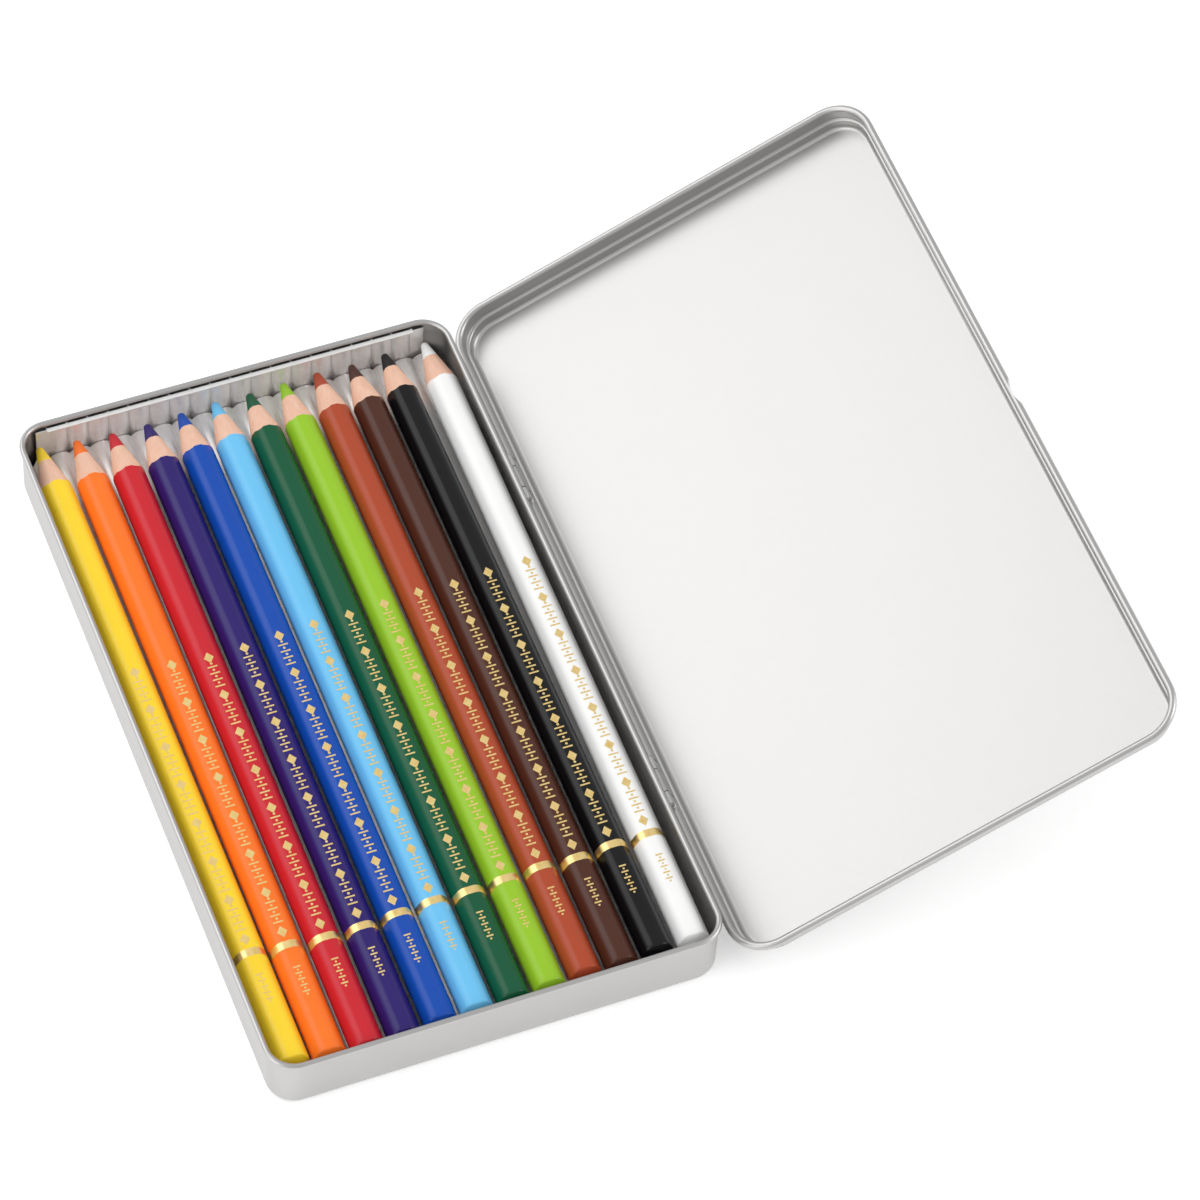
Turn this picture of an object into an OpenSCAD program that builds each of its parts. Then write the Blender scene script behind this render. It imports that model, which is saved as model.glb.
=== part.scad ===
// Colored pencil tin: a flat hinged case of thin sheet steel, shown open, with
// a fluted liner and twelve sharpened pencils lying side by side.
// X runs across the tin with the hinges on +X, Y along the pencils with their
// points on +Y, Z up. The origin is the middle of the base's underside.
// The tin takes its width and length from the pencils that fill it.

/* [Pencils] */
// across the flats of the hexagonal casing
pencil_flats = 7.3; // [6.4:0.1:8]
// across the rounded corners of the casing
pencil_w = 7.7; // [7.5:0.05:8.3]
// length from the dipped end to the point
pencil_len = 175.6; // [120:0.2:200]
// gap between two neighbours in the row
pencil_gap = 0.7; // [0.65:0.05:1.4]
// diameter of the coloured core
core_d = 3.8; // [2.2:0.1:4.4]
// growth of the sharpened cone's radius per millimetre
cone_slope = 0.24; // [0.18:0.01:0.3]
// how far a sharp point would stand beyond the blunt one
point_lost = 3.1; // [1.5:0.1:4]
// middle of the foil band, from the dipped end
band_from_end = 28.9; // [15:0.1:60]
// length of the foil band
band_len = 1.9; // [1:0.1:5]
// how far the first pencil's dipped end stands in from its place in the row
first_in = 0.35; // [0:0.05:0.35]
// how far the first pencil leans out at its point
first_lean = 0.55; // [0:0.05:0.55]
// how far the last pencil leans out at its point
last_lean = 1.55; // [0:0.05:1.55]

/* [Base] */
// height over the rim bead
base_h = 16; // [14:0.5:20]
// outside radius of the wall's corners
corner_r = 6.5; // [5:0.1:6.6]
// outside radius of the bend between floor and wall
floor_bend = 1.8; // [1:0.1:2.5]
// diameter of the rolled rim
rim_d = 1.4; // [1.2:0.1:2]
// room beside the first pencil, up to the rim
first_gap = 0.4; // [0.4:0.1:2]
// room beside the last pencil, up to the rim
last_gap = 1.7; // [1.7:0.1:4]
// room behind the dipped ends, up to the wall
end_gap = 1.5; // [1.5:0.1:6]

/* [Lid] */
// angle of the lid from its closed place
lid_open = 155.5; // [0:0.5:155.5]
// height from the lid's rim to the panel it rests on
skirt_h = 6.6; // [5.6:0.1:8]
// height from the lid's rim to the step in its skirt
step_h = 3.8; // [2.6:0.1:4]
// how far the skirt steps in
step_in = 0.7; // [0.4:0.1:0.7]
// diameter of the lid's rolled rim
lid_rim_d = 1.8; // [1.4:0.1:2.4]
// free room between the base's rim and the lid's skirt
lid_play = 1.2; // [1.2:0.05:1.6]
// depth of the thumb dent in the lid's rim
dent_depth = 0.9; // [0.5:0.1:1.1]
// radius of the thumb dent
dent_r = 9; // [6:0.5:16]

/* [Hinges] */
// length of one hinge
hinge_w = 13; // [10:1:24]
// middle of a hinge from the tin's end
hinge_from_end = 46.5; // [30:0.5:60]
// diameter of the wire pin
pin_d = 1; // [0.8:0.1:1.4]

/* [Liner] */
// top of the flutes above the table
liner_top = 6.05; // [4:0.05:7]
// number of flutes under the pencils
flute_count = 20; // [16:1:24]
// rise of a flute
flute_rise = 1.2; // [0.6:0.1:1.6]
// thickness of the liner's sheet
liner_t = 0.3; // [0.25:0.05:0.4]

/* [Hidden] */
$fn = 48;
e = 0.01;
sheet = 0.3;
pencil_count = 12;
pin_play = 0.05;
glue_gap = 0.02;
rest_gap = 0.3;
side_play = 0.3;

// directions between which a rolled rim's curl stays open, towards its wall
curl_open_base = 195;
curl_shut_base = 245;
curl_open_lid = 110;
curl_shut_lid = 165;

// pencils
pencil_r = pencil_w / 2;
pitch = pencil_w + pencil_gap;
row_w = pencil_count * pencil_w + (pencil_count - 1) * pencil_gap;
core_r = core_d / 2;
foil_t = 0.1;
dipped_t = 0.8;
dome_r = 6;
point_r = 1;
point_gap = 1.2;
pencil_z = liner_top + rest_gap + pencil_flats / 2;
tin_half_clear = (row_w + first_gap + last_gap) / 2;
first_x = -tin_half_clear + first_gap + pencil_r;

// liner
bed_w = 2 * (tin_half_clear - 1.5);
flute_pitch = bed_w / flute_count;
flute_r = (pow(flute_pitch / 2, 2) + pow(flute_rise, 2)) / (2 * flute_rise);
flute_depth = flute_rise + 2 * liner_t;
liner_foot = sheet + glue_gap;
liner_play = 0.06;
bed_gap = 0.12;
bed_chamfer = 2.2;

// base
rim_r = rim_d / 2;
rim_proud = 0.6;
rim_in = rim_d - rim_proud;
wall_x = tin_half_clear + rim_in;
inner_l = end_gap + pencil_len + point_gap + flute_depth + liner_play;
wall_y = inner_l / 2 + sheet;
centre_x = wall_x - corner_r;
centre_y = wall_y - corner_r;
inside_y = wall_y - sheet;
near_end_y = -inside_y + end_gap;
liner_end_y = inside_y - liner_play - flute_depth;
pip_z = 7.1;
pip_r = 0.6;
pip_proud = 0.25;

// lid, in its closed place
lid_skirt_r = corner_r + rim_proud + lid_play;
lid_rim_r = lid_rim_d / 2;
lid_rim_z = base_h + rest_gap - skirt_h;
panel_z = base_h + rest_gap + sheet;
shoulder_r = 1.2;
step_bend = (step_in + sheet) / 2;
step_z = lid_rim_z + step_h - step_bend + sheet / 2;
lid_bead_x = centre_x + lid_skirt_r + lid_rim_r;
dent_y = 0.6;
dent_w = 2 * sqrt(2 * dent_r * dent_depth);

// hinges
pin_r = pin_d / 2;
knuckle_r = pin_r + pin_play + sheet;
hinge_x = centre_x + lid_skirt_r + knuckle_r;
hinge_z = lid_rim_z - knuckle_r;
hinge_y = wall_y + rim_proud - hinge_from_end;
lid_knuckle_w = hinge_w * 0.46;
base_knuckle_w = (hinge_w - lid_knuckle_w) / 2 - side_play;
notch_w = hinge_w + 2 * side_play + 0.2;
notch_top = lid_rim_z + lid_rim_d + 0.1;
leaf_run = hinge_x - wall_x - glue_gap;
leaf_bend = 0.6;
leaf_foot = 5.5;

hues = ["yellow", "orange", "red", "violet", "blue", "sky_blue", "dark_green",
  "yellow_green", "terracotta", "dark_brown", "black", "white"];
paints = ["#f6d545", "#f9803a", "#d2303c", "#452f78", "#2055b8", "#7cccf6",
  "#1d6b4c", "#8fc83c", "#b4593c", "#4a2c26", "#232325", "#f0f0ee"];
// how far each pencil has slipped towards its point
slips = [0.85, 0, -0.8, -0.85, -0.3, 0.1, -0.1, 0.2, 0.6, 0.1, 0.7, 0.75];

// Quarter of a bent sheet's section, in the first quadrant.
module bend(outer_r) {
  intersection() {
    difference() {
      circle(outer_r);
      circle(outer_r - sheet);
    }
    square(outer_r);
  }
}

// Carries a section once round the tin. The section's X is counted outward
// from the line through the corners' centres, its Y is the height.
module around() {
  for (sx = [0, 1], sy = [0, 1])
    mirror([sx, 0, 0])
      mirror([0, sy, 0])
        translate([centre_x, centre_y, 0])
          rotate_extrude(angle = 90)
            children();
  for (s = [0, 1])
    mirror([s, 0, 0])
      translate([centre_x, centre_y, 0])
        rotate([90, 0, 0])
          linear_extrude(2 * centre_y)
            children();
  for (s = [0, 1])
    mirror([0, s, 0])
      translate([-centre_x, centre_y, 0])
        rotate([90, 0, 90])
          linear_extrude(2 * centre_x)
            children();
}

// Flat sheet inside the line through the corners' centres.
module middle_sheet(z) {
  translate([-centre_x, -centre_y, z])
    cube([2 * centre_x, 2 * centre_y, sheet]);
}

// A rolled rim's section: a hollow curl with a slit towards the wall.
module rolled_rim(r, slit_from, slit_to) {
  difference() {
    circle(r);
    circle(r - sheet);
    polygon([
      [0, 0],
      2 * r * [cos(slit_from), sin(slit_from)],
      2 * r * [cos(slit_to), sin(slit_to)]
    ]);
  }
}

module base_section() {
  square([corner_r - floor_bend, sheet]);
  translate([corner_r - floor_bend, floor_bend])
    mirror([0, 1])
      bend(floor_bend);
  translate([corner_r - sheet, floor_bend])
    square([sheet, base_h - rim_d + sheet / 2 - floor_bend]);
  translate([corner_r + rim_proud - rim_r, base_h - rim_r])
    rolled_rim(rim_r, curl_open_base, curl_shut_base);
}

// Drawn tray with a rolled rim and one small pressed pip on the free side.
module base_tray() {
  color("#cfd0d0") {
    around()
      base_section();
    middle_sheet(0);
    intersection() {
      translate([pip_r - pip_proud - wall_x, 0, pip_z])
        sphere(pip_r);
      translate([sheet / 2 - wall_x - 2 * pip_r, -pip_r, pip_z - pip_r])
        cube(2 * pip_r);
    }
  }
}

module lid_section() {
  neck_r = lid_skirt_r - step_in;
  translate([lid_skirt_r + lid_rim_r, lid_rim_z + lid_rim_r])
    rolled_rim(lid_rim_r, curl_open_lid, curl_shut_lid);
  translate([lid_skirt_r, lid_rim_z + lid_rim_r])
    square([sheet, step_z - lid_rim_z - lid_rim_r]);
  translate([lid_skirt_r + sheet - step_bend, step_z])
    bend(step_bend);
  translate([neck_r + step_bend, step_z + 2 * step_bend - sheet])
    rotate(180)
      bend(step_bend);
  translate([neck_r, step_z + 2 * step_bend - sheet])
    square([sheet, panel_z - shoulder_r - step_z - 2 * step_bend + sheet]);
  translate([neck_r + sheet - shoulder_r, panel_z - shoulder_r])
    bend(shoulder_r);
  translate([0, panel_z - sheet])
    square([neck_r + sheet - shoulder_r, sheet]);
}

// A knuckle's section: sheet curled round the pin, its leaf going up at the left.
module curl(leaf) {
  difference() {
    circle(knuckle_r);
    circle(pin_r + pin_play);
    translate([-2 * knuckle_r, 0])
      square([2 * knuckle_r - pin_r / 2, 2 * knuckle_r]);
  }
  translate([-knuckle_r, 0])
    square([sheet, leaf]);
}

// Thumb dent in the middle of the lid's free rim, counted from its bead: the
// pressed-in wall, or all that lies outside it.
module dent(wall) {
  translate([-dent_r - lid_rim_r + dent_depth, dent_y, -lid_rim_d])
    difference() {
      cylinder(r = dent_r + (wall ? sheet : 0), h = 2 * lid_rim_d);
      if (wall)
        translate([0, 0, -e])
          cylinder(r = dent_r, h = 2 * lid_rim_d + 2 * e);
    }
}

module closed_lid() {
  translate([-lid_bead_x, 0, lid_rim_z + lid_rim_r])
    intersection() {
      dent(true);
      translate([0, dent_y, 0])
        rotate([90, 0, 0])
          cylinder(r = lid_rim_r - sheet / 2, h = dent_w + 1, center = true);
    }
  difference() {
    union() {
      around()
        lid_section();
      middle_sheet(panel_z - sheet);
    }
    translate([-lid_bead_x, 0, lid_rim_z + lid_rim_r])
      dent(false);
    for (s = [-1, 1])
      translate([hinge_x - knuckle_r - sheet, s * hinge_y - notch_w / 2, lid_rim_z - 1])
        cube([lid_rim_d + 2, notch_w, notch_top - lid_rim_z + 1]);
  }
  for (s = [-1, 1])
    translate([hinge_x, s * hinge_y, hinge_z])
      rotate([90, 0, 0])
        linear_extrude(lid_knuckle_w, center = true)
          curl(notch_top - hinge_z);
}

// Drawn lid: outward rolled rim, stepped skirt, flat panel, two curled leaves.
module lid() {
  color("#e4e5e4")
    translate([hinge_x, 0, hinge_z])
      rotate([0, lid_open, 0])
        translate([-hinge_x, 0, -hinge_z])
          closed_lid();
}

// Leaf on the base's wall: a plate held by two rivets, bent out into two
// curled knuckles that leave the middle free for the lid's own knuckle.
module hinge_leaf(side) {
  color("#c4c5c6")
    translate([hinge_x, side * hinge_y, hinge_z]) {
      translate([-leaf_run, -hinge_w / 2, -leaf_foot])
        cube([sheet, hinge_w, leaf_foot - knuckle_r + sheet - leaf_bend]);
      for (s = [-1, 1])
        translate([0, s * (hinge_w - base_knuckle_w) / 2, 0])
          rotate([90, 0, 0])
            linear_extrude(base_knuckle_w, center = true) {
              rotate(90)
                curl(leaf_run - leaf_bend);
              translate([leaf_bend - leaf_run, sheet - knuckle_r - leaf_bend])
                mirror([1, 0])
                  bend(leaf_bend);
            }
      for (s = [-1, 1])
        translate([-leaf_run + sheet / 2, s * hinge_w / 4, -leaf_foot * 0.62])
          rotate([0, 90, 0])
            cylinder(r = 0.9, h = 0.45);
    }
}

// Wire pin with a small upset head at each end.
module hinge_pin(side) {
  color("#a9abad")
    translate([hinge_x, side * hinge_y, hinge_z])
      rotate([90, 0, 0]) {
        cylinder(r = pin_r, h = hinge_w + 0.2, center = true);
        for (s = [-1, 1])
          translate([0, 0, s * (hinge_w / 2 + 0.25)])
            cylinder(r = pin_r + 0.25, h = 0.3, center = true);
      }
}

// Section of one flute: an arch whose crown touches Y = 0, a hair wider than
// its pitch so that it runs into its neighbours.
module flute() {
  intersection() {
    translate([0, -flute_r])
      difference() {
        circle(flute_r);
        circle(flute_r - liner_t);
      }
    translate([-flute_pitch / 2 - e, -flute_depth])
      square([flute_pitch + 2 * e, flute_depth + 1]);
  }
}

// A run of flutes side by side, centred on Y.
module fluted(count) {
  for (i = [0:count - 1])
    translate([(i - (count - 1) / 2) * flute_pitch, 0])
      flute();
}

// Fluted bed under the pencils, on folded side edges and three ribs, its
// corners cut off where the tray is round.
module liner_bed() {
  bed_l = 2 * (liner_end_y - bed_gap);
  rib_h = liner_top - flute_depth + liner_t - liner_foot;
  rib_step = round(flute_count / 4) * flute_pitch;
  color("#d9d5d2")
    difference() {
      translate([0, bed_l / 2, 0])
        rotate([90, 0, 0])
          linear_extrude(bed_l) {
            translate([0, liner_top])
              fluted(flute_count);
            for (x = [-bed_w / 2, bed_w / 2 - liner_t])
              translate([x, liner_foot])
                square([liner_t, liner_top - flute_rise - liner_foot]);
            for (s = [-1, 0, 1])
              translate([s * rib_step - liner_t, liner_foot])
                square([2 * liner_t, rib_h]);
          }
      for (sx = [-1, 1], sy = [-1, 1])
        translate([sx * bed_w / 2, sy * bed_l / 2, 0])
          rotate([0, 0, 45])
            cube([bed_chamfer * sqrt(2), bed_chamfer * sqrt(2), 4 * liner_top], center = true);
    }
}

// Fluted end wall beyond the points, with side flanges and a small lip on top.
// It is glued to the tray's wall above the bend of the floor.
module liner_end() {
  end_flutes = 2 * floor((centre_x + 1) / flute_pitch);
  end_w = end_flutes * flute_pitch;
  end_h = base_h - rim_d - 0.2;
  end_foot = floor_bend + rest_gap;
  flange = 2.7;
  flange_root = 0.6;
  color("#dedad7")
    translate([0, liner_end_y, 0]) {
      translate([0, 0, end_foot])
        linear_extrude(end_h - end_foot) {
          rotate(180)
            fluted(end_flutes);
          for (s = [0, 1])
            mirror([s, 0])
              translate([end_w / 2 - flange_root, flute_rise / 2])
                square([flange + flange_root, liner_t]);
        }
      translate([-end_w / 2, 0, end_h])
        cube([end_w, flute_depth * 0.6, 0.25]);
    }
}

// Section of a casing, drawn in by a given depth on every side.
module casing_section(inset) {
  intersection() {
    circle(pencil_r - inset);
    circle((pencil_flats / 2 - inset) / cos(30), $fn = 6);
  }
}

// Turned outline of a whole pencil: domed end, cone and blunt point.
module turned(r) {
  rotate_extrude()
    intersection() {
      square([r, pencil_len]);
      polygon([
        [0, 0],
        [pencil_w, 0],
        [pencil_w, pencil_len + point_lost - pencil_w / cone_slope],
        [0, pencil_len + point_lost]
      ]);
      union() {
        translate([0, dome_r])
          circle(dome_r);
        translate([0, dome_r])
          square([pencil_w, pencil_len - dome_r - point_r]);
        translate([0, pencil_len - point_r])
          circle(point_r);
      }
    }
}

// Puts a pencil that stands on the origin into its place in the row.
module in_row(i) {
  x = first_x + i * pitch + (i == 0 ? first_in : 0);
  out = i == 0 ? -first_lean : i == pencil_count - 1 ? last_lean : 0;
  translate([x, near_end_y + slips[i], pencil_z])
    rotate([0, 0, -atan(out / pencil_len)])
      rotate([-90, 0, 0])
        children();
}

// Wooden casing, lacquered, bored for the core and recessed for the band.
module casing(i) {
  band_z = band_from_end - band_len / 2;
  color(paints[i])
    in_row(i)
      difference() {
        intersection() {
          union() {
            linear_extrude(band_z)
              casing_section(0);
            translate([0, 0, band_z])
              linear_extrude(band_len)
                casing_section(foil_t + glue_gap);
            translate([0, 0, band_z + band_len])
              linear_extrude(pencil_len - band_z - band_len)
                casing_section(0);
          }
          turned(pencil_w);
        }
        translate([0, 0, dipped_t])
          cylinder(r = core_r + glue_gap, h = pencil_len);
      }
}

module core(i) {
  color(paints[i])
    in_row(i)
      difference() {
        turned(core_r);
        cylinder(r = pencil_w, h = 2 * dipped_t + glue_gap, center = true);
      }
}

module band(i) {
  color("#c9a24e")
    in_row(i)
      translate([0, 0, band_from_end - band_len / 2 + glue_gap])
        linear_extrude(band_len - 2 * glue_gap)
          difference() {
            casing_section(0);
            casing_section(foil_t);
          }
}

base_tray();
hinge_leaf(-1);  // hinge_leaf_near
hinge_leaf(1);  // hinge_leaf_far
hinge_pin(-1);  // hinge_pin_near
hinge_pin(1);  // hinge_pin_far
liner_bed();
liner_end();
lid();
for (i = [0:pencil_count - 1]) casing(i);
for (i = [0:pencil_count - 1]) core(i);
for (i = [0:pencil_count - 1]) band(i);
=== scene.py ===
"""A flat hinged pencil tin, lid open, with a fluted liner and twelve sharpened colored pencils."""

import math

import bmesh
import bpy
from mathutils import Matrix, Vector


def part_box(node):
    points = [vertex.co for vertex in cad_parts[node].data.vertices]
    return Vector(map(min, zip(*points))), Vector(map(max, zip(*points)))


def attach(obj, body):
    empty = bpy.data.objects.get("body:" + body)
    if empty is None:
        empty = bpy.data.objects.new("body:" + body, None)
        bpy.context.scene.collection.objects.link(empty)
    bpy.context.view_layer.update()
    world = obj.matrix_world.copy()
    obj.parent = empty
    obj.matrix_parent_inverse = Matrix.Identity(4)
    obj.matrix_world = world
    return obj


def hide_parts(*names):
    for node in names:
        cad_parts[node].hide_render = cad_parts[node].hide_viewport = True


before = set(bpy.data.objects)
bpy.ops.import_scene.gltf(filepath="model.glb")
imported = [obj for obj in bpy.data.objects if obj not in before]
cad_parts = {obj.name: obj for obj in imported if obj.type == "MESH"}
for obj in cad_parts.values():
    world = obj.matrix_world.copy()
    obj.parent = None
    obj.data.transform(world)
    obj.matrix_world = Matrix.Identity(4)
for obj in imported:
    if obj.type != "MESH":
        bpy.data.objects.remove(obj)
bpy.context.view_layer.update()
mm = 0.001

# The base tray. It is drawn from thin sheet steel, coated satin silver-white inside
# and out, and its top edge is rolled into a bead. A small pip on the free side lets
# the lid snap over it.


class Out:
    """A socket of one material, so that shader maths can be written as plain sums."""

    def __init__(self, tree, socket):
        self.tree, self.socket = tree, socket

    def node(self, kind, settings=None, out=0, **inputs):
        made = self.tree.nodes.new(kind)
        for name, value in (settings or {}).items():
            if name == "stops":
                ramp = made.color_ramp
                while len(ramp.elements) < len(value):
                    ramp.elements.new(1)
                for stop, (place, colour) in zip(ramp.elements, value):
                    stop.position, stop.color = place, colour
            else:
                setattr(made, name, value)
        for name, value in inputs.items():
            key = int(name[1:]) if name[0] == "i" and name[1:].isdigit() else name.replace("_", " ")
            target = made.inputs[key]
            if isinstance(value, Out):
                self.tree.links.new(value.socket, target)
            else:
                target.default_value = value
        return Out(self.tree, made.outputs[out])

    def math(self, operation, *values, clamp=False):
        sockets = {f"i{n}": value for n, value in enumerate(values)}
        return self.node("ShaderNodeMath", {"operation": operation, "use_clamp": clamp}, **sockets)

    def __add__(self, other):
        return self.math("ADD", self, other)

    __radd__ = __add__

    def __sub__(self, other):
        return self.math("SUBTRACT", self, other)

    def __rsub__(self, other):
        return self.math("SUBTRACT", other, self)

    def __mul__(self, other):
        return self.math("MULTIPLY", self, other)

    __rmul__ = __mul__

    def __truediv__(self, other):
        return self.math("DIVIDE", self, other)

    def step(self, low, high):
        """0 below low, 1 above high, smooth between; low may be the larger."""
        return self.node(
            "ShaderNodeMapRange", {"interpolation_type": "SMOOTHSTEP"},
            Value=self, From_Min=low, From_Max=high,
        )

    def axis(self, letter):
        return self.node("ShaderNodeSeparateXYZ", out="XYZ".index(letter), i0=self)

    def mix(self, low, high):
        """The colour between low and high that this value picks."""
        return self.node(
            "ShaderNodeMix", {"data_type": "RGBA"}, out=2, i0=self, i6=low, i7=high
        )


def colour(code):
    """A linear colour from the six-digit code of a screen colour."""
    parts = [int(code[n:n + 2], 16) / 255 for n in (0, 2, 4)]
    return (*[c / 12.92 if c <= 0.04045 else ((c + 0.055) / 1.055) ** 2.4 for c in parts], 1)


class Finish(Out):
    """A new material: places on it come from its object's own coordinates."""

    def __init__(self, name, **constants):
        self.material = bpy.data.materials.new(name)
        self.material.use_nodes = True
        tree = self.material.node_tree
        self.shader = tree.nodes["Principled BSDF"]
        place = tree.nodes.new("ShaderNodeTexCoord").outputs["Object"]
        super().__init__(tree, place)
        self.set(**constants)

    def set(self, **values):
        for name, value in values.items():
            target = self.shader.inputs[name.replace("_", " ")]
            if isinstance(value, Out):
                self.tree.links.new(value.socket, target)
            else:
                target.default_value = value
        return self

    def noise(self, scale, detail=3.0, rough=0.5, stretch=None):
        place = self
        if stretch:
            place = self.node("ShaderNodeMapping", Vector=self, Scale=stretch)
        return self.node(
            "ShaderNodeTexNoise", Vector=place, Scale=scale, Detail=detail, Roughness=rough
        )

    def bump(self, height, strength, depth):
        return self.set(Normal=self.node(
            "ShaderNodeBump", Height=height, Strength=strength, Distance=depth
        ))


def piece(name, form, body, slot, finishes, *nodes):
    """Makes a mesh the object's own piece, which rides on a body and stands for CAD nodes."""
    mesh = bpy.data.meshes.new(name)
    form.to_mesh(mesh)
    form.free()
    for finish in finishes:
        mesh.materials.append(finish.material)
    made = bpy.data.objects.new(name, mesh)
    bpy.context.scene.collection.objects.link(made)
    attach(made, body)
    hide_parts(*nodes)
    return made


def fair(form, keen):
    """Shades a form smoothly, but for edges keener than an angle in degrees."""
    for face in form.faces:
        face.smooth = True
    for edge in form.edges:
        edge.smooth = edge.calc_face_angle(0) < math.radians(keen)


def formed_sheet(name, node, body, slot, finish, keen=35):
    """A CAD node's own shape, merged and smoothly shaded."""
    form = bmesh.new()
    form.from_mesh(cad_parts[node].data)
    bmesh.ops.remove_doubles(form, verts=form.verts, dist=0.001 * mm)
    fair(form, keen)
    made = piece(name, form, body, slot, [finish], node)
    even = made.modifiers.new("even_shading", "WEIGHTED_NORMAL")
    even.keep_sharp = True
    even.weight = 100
    return made


tin_coat = Finish("tin_coat", Metallic=1.0)
mottle = tin_coat.noise(70, 4)
grain = tin_coat.noise(1500, 2)
tin_coat.set(
    Base_Color=mottle.mix(colour("bab9b8"), colour("c2c1c0")),
    Roughness=0.31 + mottle * 0.05 + grain * 0.06,
)
tin_coat.bump(grain, 0.05, 0.0001)
formed_sheet("tray", "base_tray", "base", "tin_steel", tin_coat)

# The hinges. Each leaf is a small stamped plate riveted to the base's wall and
# curled into two knuckles; a wire pin with upset ends runs through them.

hinge_steel = Finish("hinge_steel", Metallic=1.0)
drawn = hinge_steel.noise(1500, 3, stretch=(1, 0.1, 1))
hinge_steel.set(
    Base_Color=drawn.mix(colour("b4b3b1"), colour("d8d7d5")), Roughness=0.25 + drawn * 0.2
)
hinge_steel.bump(drawn, 0.15, 0.00005)
pin_wire = Finish("pin_wire", Metallic=1.0)
polish = pin_wire.noise(2200, 3, stretch=(1, 0.05, 1))
pin_wire.set(
    Base_Color=polish.mix(colour("9c9b99"), colour("c4c3c1")), Roughness=0.2 + polish * 0.2
)
pin_wire.bump(polish, 0.2, 0.00003)
for end in ("near", "far"):
    formed_sheet(f"leaf_{end}", f"hinge_leaf_{end}", "base", "hinge_steel", hinge_steel)
    formed_sheet(f"pin_{end}", f"hinge_pin_{end}", "base", "pin_wire", pin_wire)

# The liner. It is one pearly silver-white sheet formed into flutes, lying on the
# base's floor and turned up beyond the points.

pearl = Finish("liner_pearl", Metallic=0.45)
silk = pearl.noise(700, 4)
pearl.set(
    Base_Color=silk.mix(colour("e6e4e2"), colour("fafaf9")), Roughness=0.26 + silk * 0.16
)
pearl.bump(silk, 0.08, 0.0002)
for part in ("bed", "end"):
    formed_sheet(f"flutes_{part}", f"liner_{part}", "base", "liner_film", pearl)

# The pencils' wooden casings. Each is a cedar hexagon with well rounded corners,
# dipped in lacquer, domed at the dipped end and sharpened to a cone at the other,
# where the cut leaves a scalloped edge in the lacquer.

pencil_paints = {
    "yellow": "ffda32", "orange": "ff7a26", "red": "cd2430", "violet": "2c1c6c",
    "blue": "104cb0", "sky_blue": "70c4f2", "dark_green": "0c5838",
    "yellow_green": "98c82c", "terracotta": "b04a2c", "dark_brown": "4e2a1e",
    "black": "0c0c0f", "white": "fafaf9",
}
pencil_length = 175.6 * mm
across_flats = 7.3 * mm
across_corners = 7.7 * mm
cone_slope = 0.24
cone_apex = pencil_length + 3.1 * mm
bore_r = 1.92 * mm
bore_foot = 0.8 * mm
dome_r = 6 * mm
dome_shoulder = 0.25 * mm
# Each ring of the dome: its share of the barrel's width, and its height over the dome.
dome_rings = ((0.985, 0.07 * mm), (0.95, 0.01 * mm), (0.8, 0), (0.55, 0), (0.25, 0))
barrel_rings = (2.6 * mm, 30 * mm, 90 * mm, 140 * mm)
# Each ring of bare wood: how much of the way in to the bore that is left it takes.
cone_rings = (0.35, 0.35 / 0.65, 1)
# The outer pencils stand at a slight angle: how far the pointed end is out of line.
lean_out = {"yellow": -0.55 * mm, "white": 1.55 * mm}
corner_steps = 8

corner_hex = across_flats / 2 / math.cos(math.radians(30))
round_r = (across_corners / 2 - corner_hex) / (1 - 1 / math.cos(math.radians(30)))
round_start = round_r * math.tan(math.radians(30))


def pencil_outline(form, inset=0):
    """A hexagonal ring with rounded corners, a flat on top, standing across the Y axis."""
    shrink = 1 - inset / (across_flats / 2)
    corners = bmesh.ops.create_circle(form, segments=6, radius=corner_hex * shrink)["verts"]
    for turn, axis in ((30, "Z"), (90, "X")):
        bmesh.ops.rotate(
            form, verts=corners, matrix=Matrix.Rotation(math.radians(turn), 3, axis)
        )
    bmesh.ops.bevel(
        form, geom=corners, offset=round_start * shrink, segments=corner_steps,
        affect="VERTICES", profile=0.5, material=-1,
    )
    return list(form.edges)


def next_ring(form, ring, move, *values):
    """Extrudes a ring of edges, and sends each of its points where move says."""
    made = bmesh.ops.extrude_edge_only(form, edges=ring)["geom"]
    for point in made:
        if isinstance(point, bmesh.types.BMVert):
            point.co = move(point.co, *values)
    return [edge for edge in made if isinstance(edge, bmesh.types.BMEdge)]


def set_in_row(form, hue):
    """Moves a form made along the Y axis from the origin to its pencil's place."""
    low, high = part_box(f"casing_{hue}")
    out = lean_out.get(hue, 0)
    start = high.x - across_corners / 2 if out < 0 else low.x + across_corners / 2
    turn = Matrix.Rotation(-math.atan(out / pencil_length), 4, "Z")
    place = Matrix.Translation((start, low.y, (low.z + high.z) / 2))
    bmesh.ops.transform(form, matrix=place @ turn, verts=form.verts)


def on_dome(co, share, lift):
    """A point drawn in to a share of its width, and laid on or over the dipped end's dome."""
    x, z = co.x * share, co.z * share
    return Vector((x, dome_r - math.sqrt(dome_r**2 - x * x - z * z) + lift, z))


def along_barrel(co, y):
    """A point sent straight along the barrel."""
    return Vector((co.x, y, co.z))


def on_cone(co, part):
    """A point sent a part of its way in to the bore, and laid on the sharpener's cone."""
    r = math.hypot(co.x, co.z)
    inner_r = r + (bore_r - r) * part
    return Vector((co.x / r * inner_r, cone_apex - inner_r / cone_slope, co.z / r * inner_r))


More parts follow.
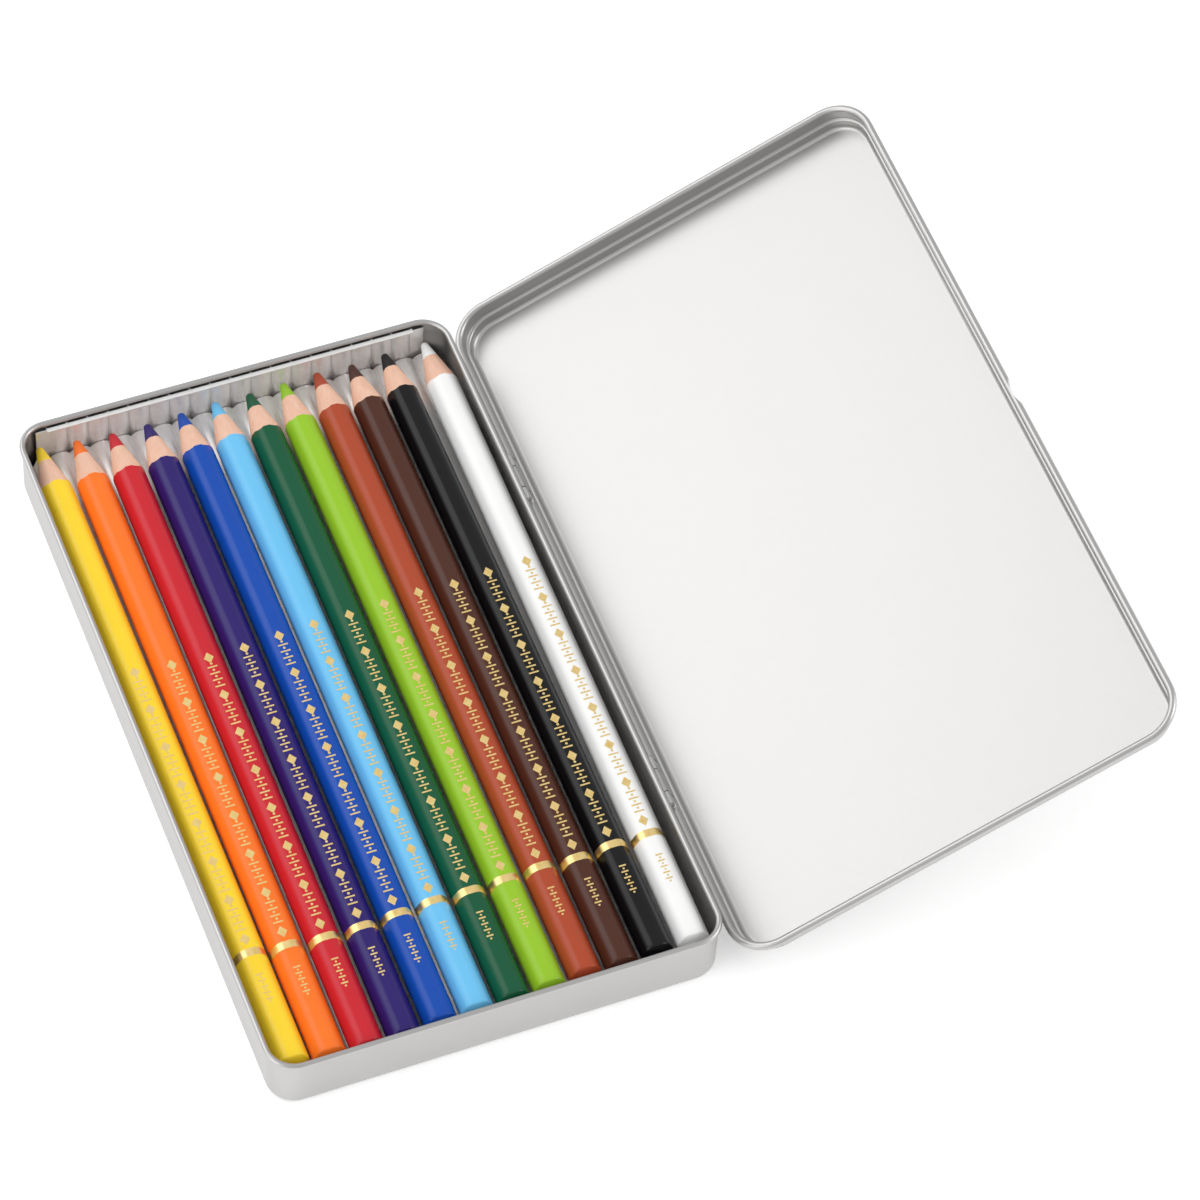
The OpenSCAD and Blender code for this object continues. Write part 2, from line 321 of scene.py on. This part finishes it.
def wooden_casing(hue):
    """A casing in its place: its first material is the lacquer, its second the bare wood."""
    form = bmesh.new()
    shoulder = pencil_outline(form)
    for point in form.verts:
        point.co = on_dome(point.co, 1, dome_shoulder)
    ring, width = shoulder, 1
    for share, lift in dome_rings:
        ring = next_ring(form, ring, on_dome, share / width, lift)
        width = share
    bmesh.ops.contextual_create(form, geom=ring)
    ring = shoulder
    for y in barrel_rings:
        ring = next_ring(form, ring, along_barrel, y)
    ring = next_ring(form, ring, on_cone, 0)
    lacquered = set(form.faces)
    for part in cone_rings:
        ring = next_ring(form, ring, on_cone, part)
    ring = next_ring(form, ring, along_barrel, bore_foot)
    bmesh.ops.contextual_create(form, geom=ring)
    for face in form.faces:
        face.material_index = 0 if face in lacquered else 1
    bmesh.ops.recalc_face_normals(form, faces=form.faces)
    fair(form, 30)
    for edge in form.edges:
        if len({face.material_index for face in edge.link_faces}) > 1:
            edge.smooth = False
    set_in_row(form, hue)
    return form


def shade(code, share):
    """A screen colour's linear colour, dimmed to a share of its light."""
    return (*[c * share for c in colour(code)[:3]], 1)


cedar = Finish("bare_cedar")
rings = cedar.noise(1, 6, 0.6, stretch=(900, 60, 900))
fibre = cedar.noise(1, 3, 0.6, stretch=(2600, 130, 2600))
cedar.set(
    Base_Color=(rings * 0.6 + fibre * 0.4).mix(colour("d99f80"), colour("f8d6c0")),
    Roughness=0.62 + fibre * 0.2,
)
cedar.bump(fibre, 0.25, 0.0001)
for hue, code in pencil_paints.items():
    lacquer = Finish(f"lacquer_{hue}", Specular_IOR_Level=0.3)
    cloud = lacquer.noise(160, 3)
    peel = lacquer.noise(900, 2)
    lacquer.set(
        Base_Color=cloud.mix(shade(code, 0.94), colour(code)), Roughness=0.2 + cloud * 0.08
    )
    lacquer.bump(peel, 0.04, 0.0001)
    piece(
        f"casing_of_{hue}", wooden_casing(hue), f"pencil_{hue}", f"lacquer_{hue}",
        [lacquer, cedar], f"casing_{hue}",
    )

# The coloured cores. Each is a rod of waxy pigment glued into the casing, turned to
# the cone's slope where it is bare, with a blunt point.

for hue, code in pencil_paints.items():
    pigment = Finish(f"pigment_{hue}")
    speck = pigment.noise(2600, 4, 0.65)
    pigment.set(
        Base_Color=speck.mix(shade(code, 0.82), colour(code)), Roughness=0.45 + speck * 0.2
    )
    pigment.bump(speck, 0.3, 0.0001)
    formed_sheet(
        f"core_of_{hue}", f"core_{hue}", f"pencil_{hue}", f"pigment_{hue}", pigment, 50
    )

# The gold foil on the pencils. A narrow band goes round each barrel, and a row of
# plain lozenges, bars and dots is stamped along the top flat.

band_middle = 28.9 * mm
band_half = 0.95 * mm
foil_proud = 0.02 * mm
stamp_t = 0.012 * mm
# Half widths across the pencil and half lengths along it.
lozenge = (1.15 * mm, 1.5 * mm)
bar = (1.15 * mm, 0.2 * mm)
dot = (0.3 * mm, 0.3 * mm)
short_bar = (0.8 * mm, 0.2 * mm)
small_dot = (0.25 * mm, 0.25 * mm)
# Places along the pencil: a lozenge starts each motif of the long row.
row_start = band_middle + 3.4 * mm
motif_length = 10.6 * mm
motif_count = 7
bar_places = (2.6 * mm, 4.4 * mm, 6.2 * mm, 8 * mm)
dot_after_bar = 0.9 * mm
short_bar_places = (6 * mm, 7.6 * mm, 9.2 * mm, 10.8 * mm, 12.4 * mm)
dot_after_short_bar = 0.8 * mm


def stamp(form, y, half_w, half_l, corners, turned=0):
    """One thin mark on the top flat: a lozenge, a bar or a round dot."""
    made = bmesh.ops.create_circle(form, segments=corners, radius=1, cap_ends=True)["verts"]
    bmesh.ops.rotate(form, verts=made, matrix=Matrix.Rotation(math.radians(turned), 3, "Z"))
    reach = max(v.co.x for v in made)
    bmesh.ops.scale(form, vec=(half_w / reach, half_l / reach, 1), verts=made)
    faces = list({face for v in made for face in v.link_faces})
    bmesh.ops.translate(form, verts=made, vec=(0, y, across_flats / 2 - stamp_t))
    raised = bmesh.ops.extrude_face_region(form, geom=faces)["geom"]
    bmesh.ops.translate(
        form, verts=[v for v in raised if isinstance(v, bmesh.types.BMVert)],
        vec=(0, 0, 2 * stamp_t),
    )


def widened(co, swell, forward):
    """A point of the band sent outwards by a factor, and forward along the barrel."""
    return Vector((co.x * swell, co.y + forward, co.z * swell))


def foil_work(hue):
    """A pencil's band and its row of stamps, in their place."""
    form = bmesh.new()
    first = pencil_outline(form, inset=2 * foil_proud)
    for point in form.verts:
        point.co.y = band_middle - band_half
    swell = 1 + 3 * foil_proud / (across_flats / 2)
    ring = first
    for factor, forward in ((swell, 0), (1, 2 * band_half), (1 / swell, 0)):
        ring = next_ring(form, ring, widened, factor, forward)
    bmesh.ops.bridge_loops(form, edges=ring + first)
    fair(form, 40)
    y = row_start
    for _ in range(motif_count):
        stamp(form, y, *lozenge, corners=4)
        for place in bar_places:
            stamp(form, y + place, *bar, corners=4, turned=45)
            stamp(form, y + place + dot_after_bar, *dot, corners=10)
        y += motif_length
    stamp(form, y, *lozenge, corners=4)
    for place in short_bar_places:
        stamp(form, band_middle - place, *short_bar, corners=4, turned=45)
        stamp(form, band_middle - place - dot_after_short_bar, *small_dot, corners=10)
    bmesh.ops.recalc_face_normals(form, faces=form.faces)
    set_in_row(form, hue)
    return form


gold = Finish("gold_foil", Metallic=1.0)
glint = gold.noise(1200, 3)
gold.set(
    Base_Color=glint.mix(colour("f2c566"), colour("ffeeb4")), Roughness=0.32 + glint * 0.12
)
gold.bump(glint, 0.05, 0.0001)
for hue in pencil_paints:
    piece(f"foil_of_{hue}", foil_work(hue), f"pencil_{hue}", "gold_foil", [gold], f"band_{hue}")

# The lid. It is drawn from the same coated sheet, with an outward rolled edge, a
# skirt that steps in half way, and a flat panel that rests on the base's rim.

formed_sheet("lid_pan", "lid", "lid", "tin_steel", tin_coat)

# The studio. It has a pale floor that glows a little, a large soft light behind the
# tin, one at each side, and the camera where the photograph was taken from.

floor_mesh = bpy.data.meshes.new("studio_floor")
form = bmesh.new()
bmesh.ops.create_grid(form, x_segments=1, y_segments=1, size=6)
form.to_mesh(floor_mesh)
form.free()
studio_floor = bpy.data.objects.new("studio_floor", floor_mesh)
bpy.context.scene.collection.objects.link(studio_floor)
paper = Finish(
    "studio_paper", Roughness=0.9, Emission_Color=(1, 1, 1, 1), Emission_Strength=0.3
)
paper.set(Base_Color=paper.noise(3, 2).mix((0.94, 0.94, 0.94, 1), (0.96, 0.96, 0.96, 1)))
floor_mesh.materials.append(paper.material)

world = bpy.data.worlds.new("studio_world")
bpy.context.scene.world = world
world.use_nodes = True
backdrop = world.node_tree.nodes["Background"]
backdrop.inputs["Color"].default_value = (1, 1, 1, 1)
backdrop.inputs["Strength"].default_value = 0.7
bpy.context.scene.view_settings.view_transform = "Standard"


def soft_light(name, place, size, power, aim=(0.05, 0, 0)):
    """A round soft light of a width in metres and a power in watts, turned to the tin."""
    lamp = bpy.data.lights.new(name, "AREA")
    lamp.shape, lamp.size, lamp.energy = "DISK", size, power
    holder = bpy.data.objects.new(name, lamp)
    bpy.context.scene.collection.objects.link(holder)
    holder.location = place
    holder.rotation_euler = (Vector(aim) - Vector(place)).to_track_quat("-Z", "Y").to_euler()


soft_light("key_softbox", (-0.58, 0.68, 0.9), size=1.1, power=4.3)
soft_light("left_softbox", (-1.45, -0.3, 0.8), size=1.3, power=6)
soft_light("right_softbox", (1.6, -0.6, 1.1), size=1.2, power=10)

photo_px = 1200
focal_px = 5500
camera_azimuth, camera_elevation, camera_roll = (
    math.radians(a) for a in (-25.171, 54.411, 4.839)
)
camera_distance = 1.259573
camera_target = Vector((0.0625, 0.01189, 0))
lens_data = bpy.data.cameras.new("photo_camera")
lens_data.sensor_width = 36
lens_data.lens = focal_px / photo_px * lens_data.sensor_width
camera = bpy.data.objects.new("photo_camera", lens_data)
bpy.context.scene.collection.objects.link(camera)
back = Vector((
    math.sin(camera_azimuth) * math.cos(camera_elevation),
    -math.cos(camera_azimuth) * math.cos(camera_elevation),
    math.sin(camera_elevation),
))
right = Vector((math.cos(camera_azimuth), math.sin(camera_azimuth), 0))
level = Matrix((right, back.cross(right), back)).transposed().to_4x4()
camera.matrix_world = (
    Matrix.Translation(camera_target + back * camera_distance)
    @ level
    @ Matrix.Rotation(camera_roll, 4, "Z")
)
bpy.context.scene.camera = camera
